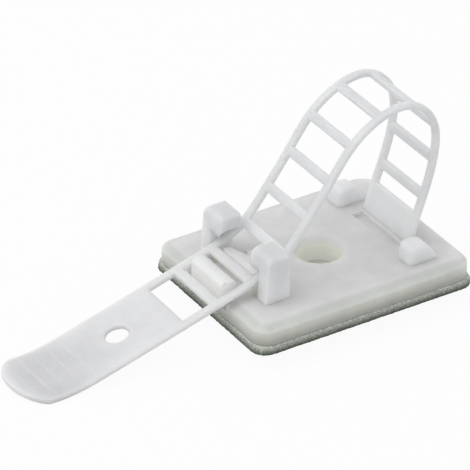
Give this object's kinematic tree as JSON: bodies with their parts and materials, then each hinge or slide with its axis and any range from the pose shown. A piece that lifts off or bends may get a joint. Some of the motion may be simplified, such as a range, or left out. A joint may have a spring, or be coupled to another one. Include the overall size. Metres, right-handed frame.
{
  "type": "adhesive cable tie mount",
  "caption": "Adhesive cable tie mount: a milky nylon base on a foam pad, with a ladder strap closed in a loop through two hooks and ending in a finger tab.",
  "frame": {"origin": "centre of the foam pad's lower face, the face that sticks to a wall or panel", "axes": "+Z away from the wall, X along the strap with the finger tab towards -X and the strap's root towards +X, Y across the base"},
  "size_m": [0.0487, 0.0208, 0.0213],
  "materials": {
    "nylon": "natural nylon, milky and translucent, with a satin moulded surface",
    "foam": "closed-cell foam tape, grey-green and fine-pored, with darker cut edges"
  },
  "bodies": {
    "root": {"mount_moulding": "nylon", "foam_pad": "foam"}
  },
  "joints": []
}
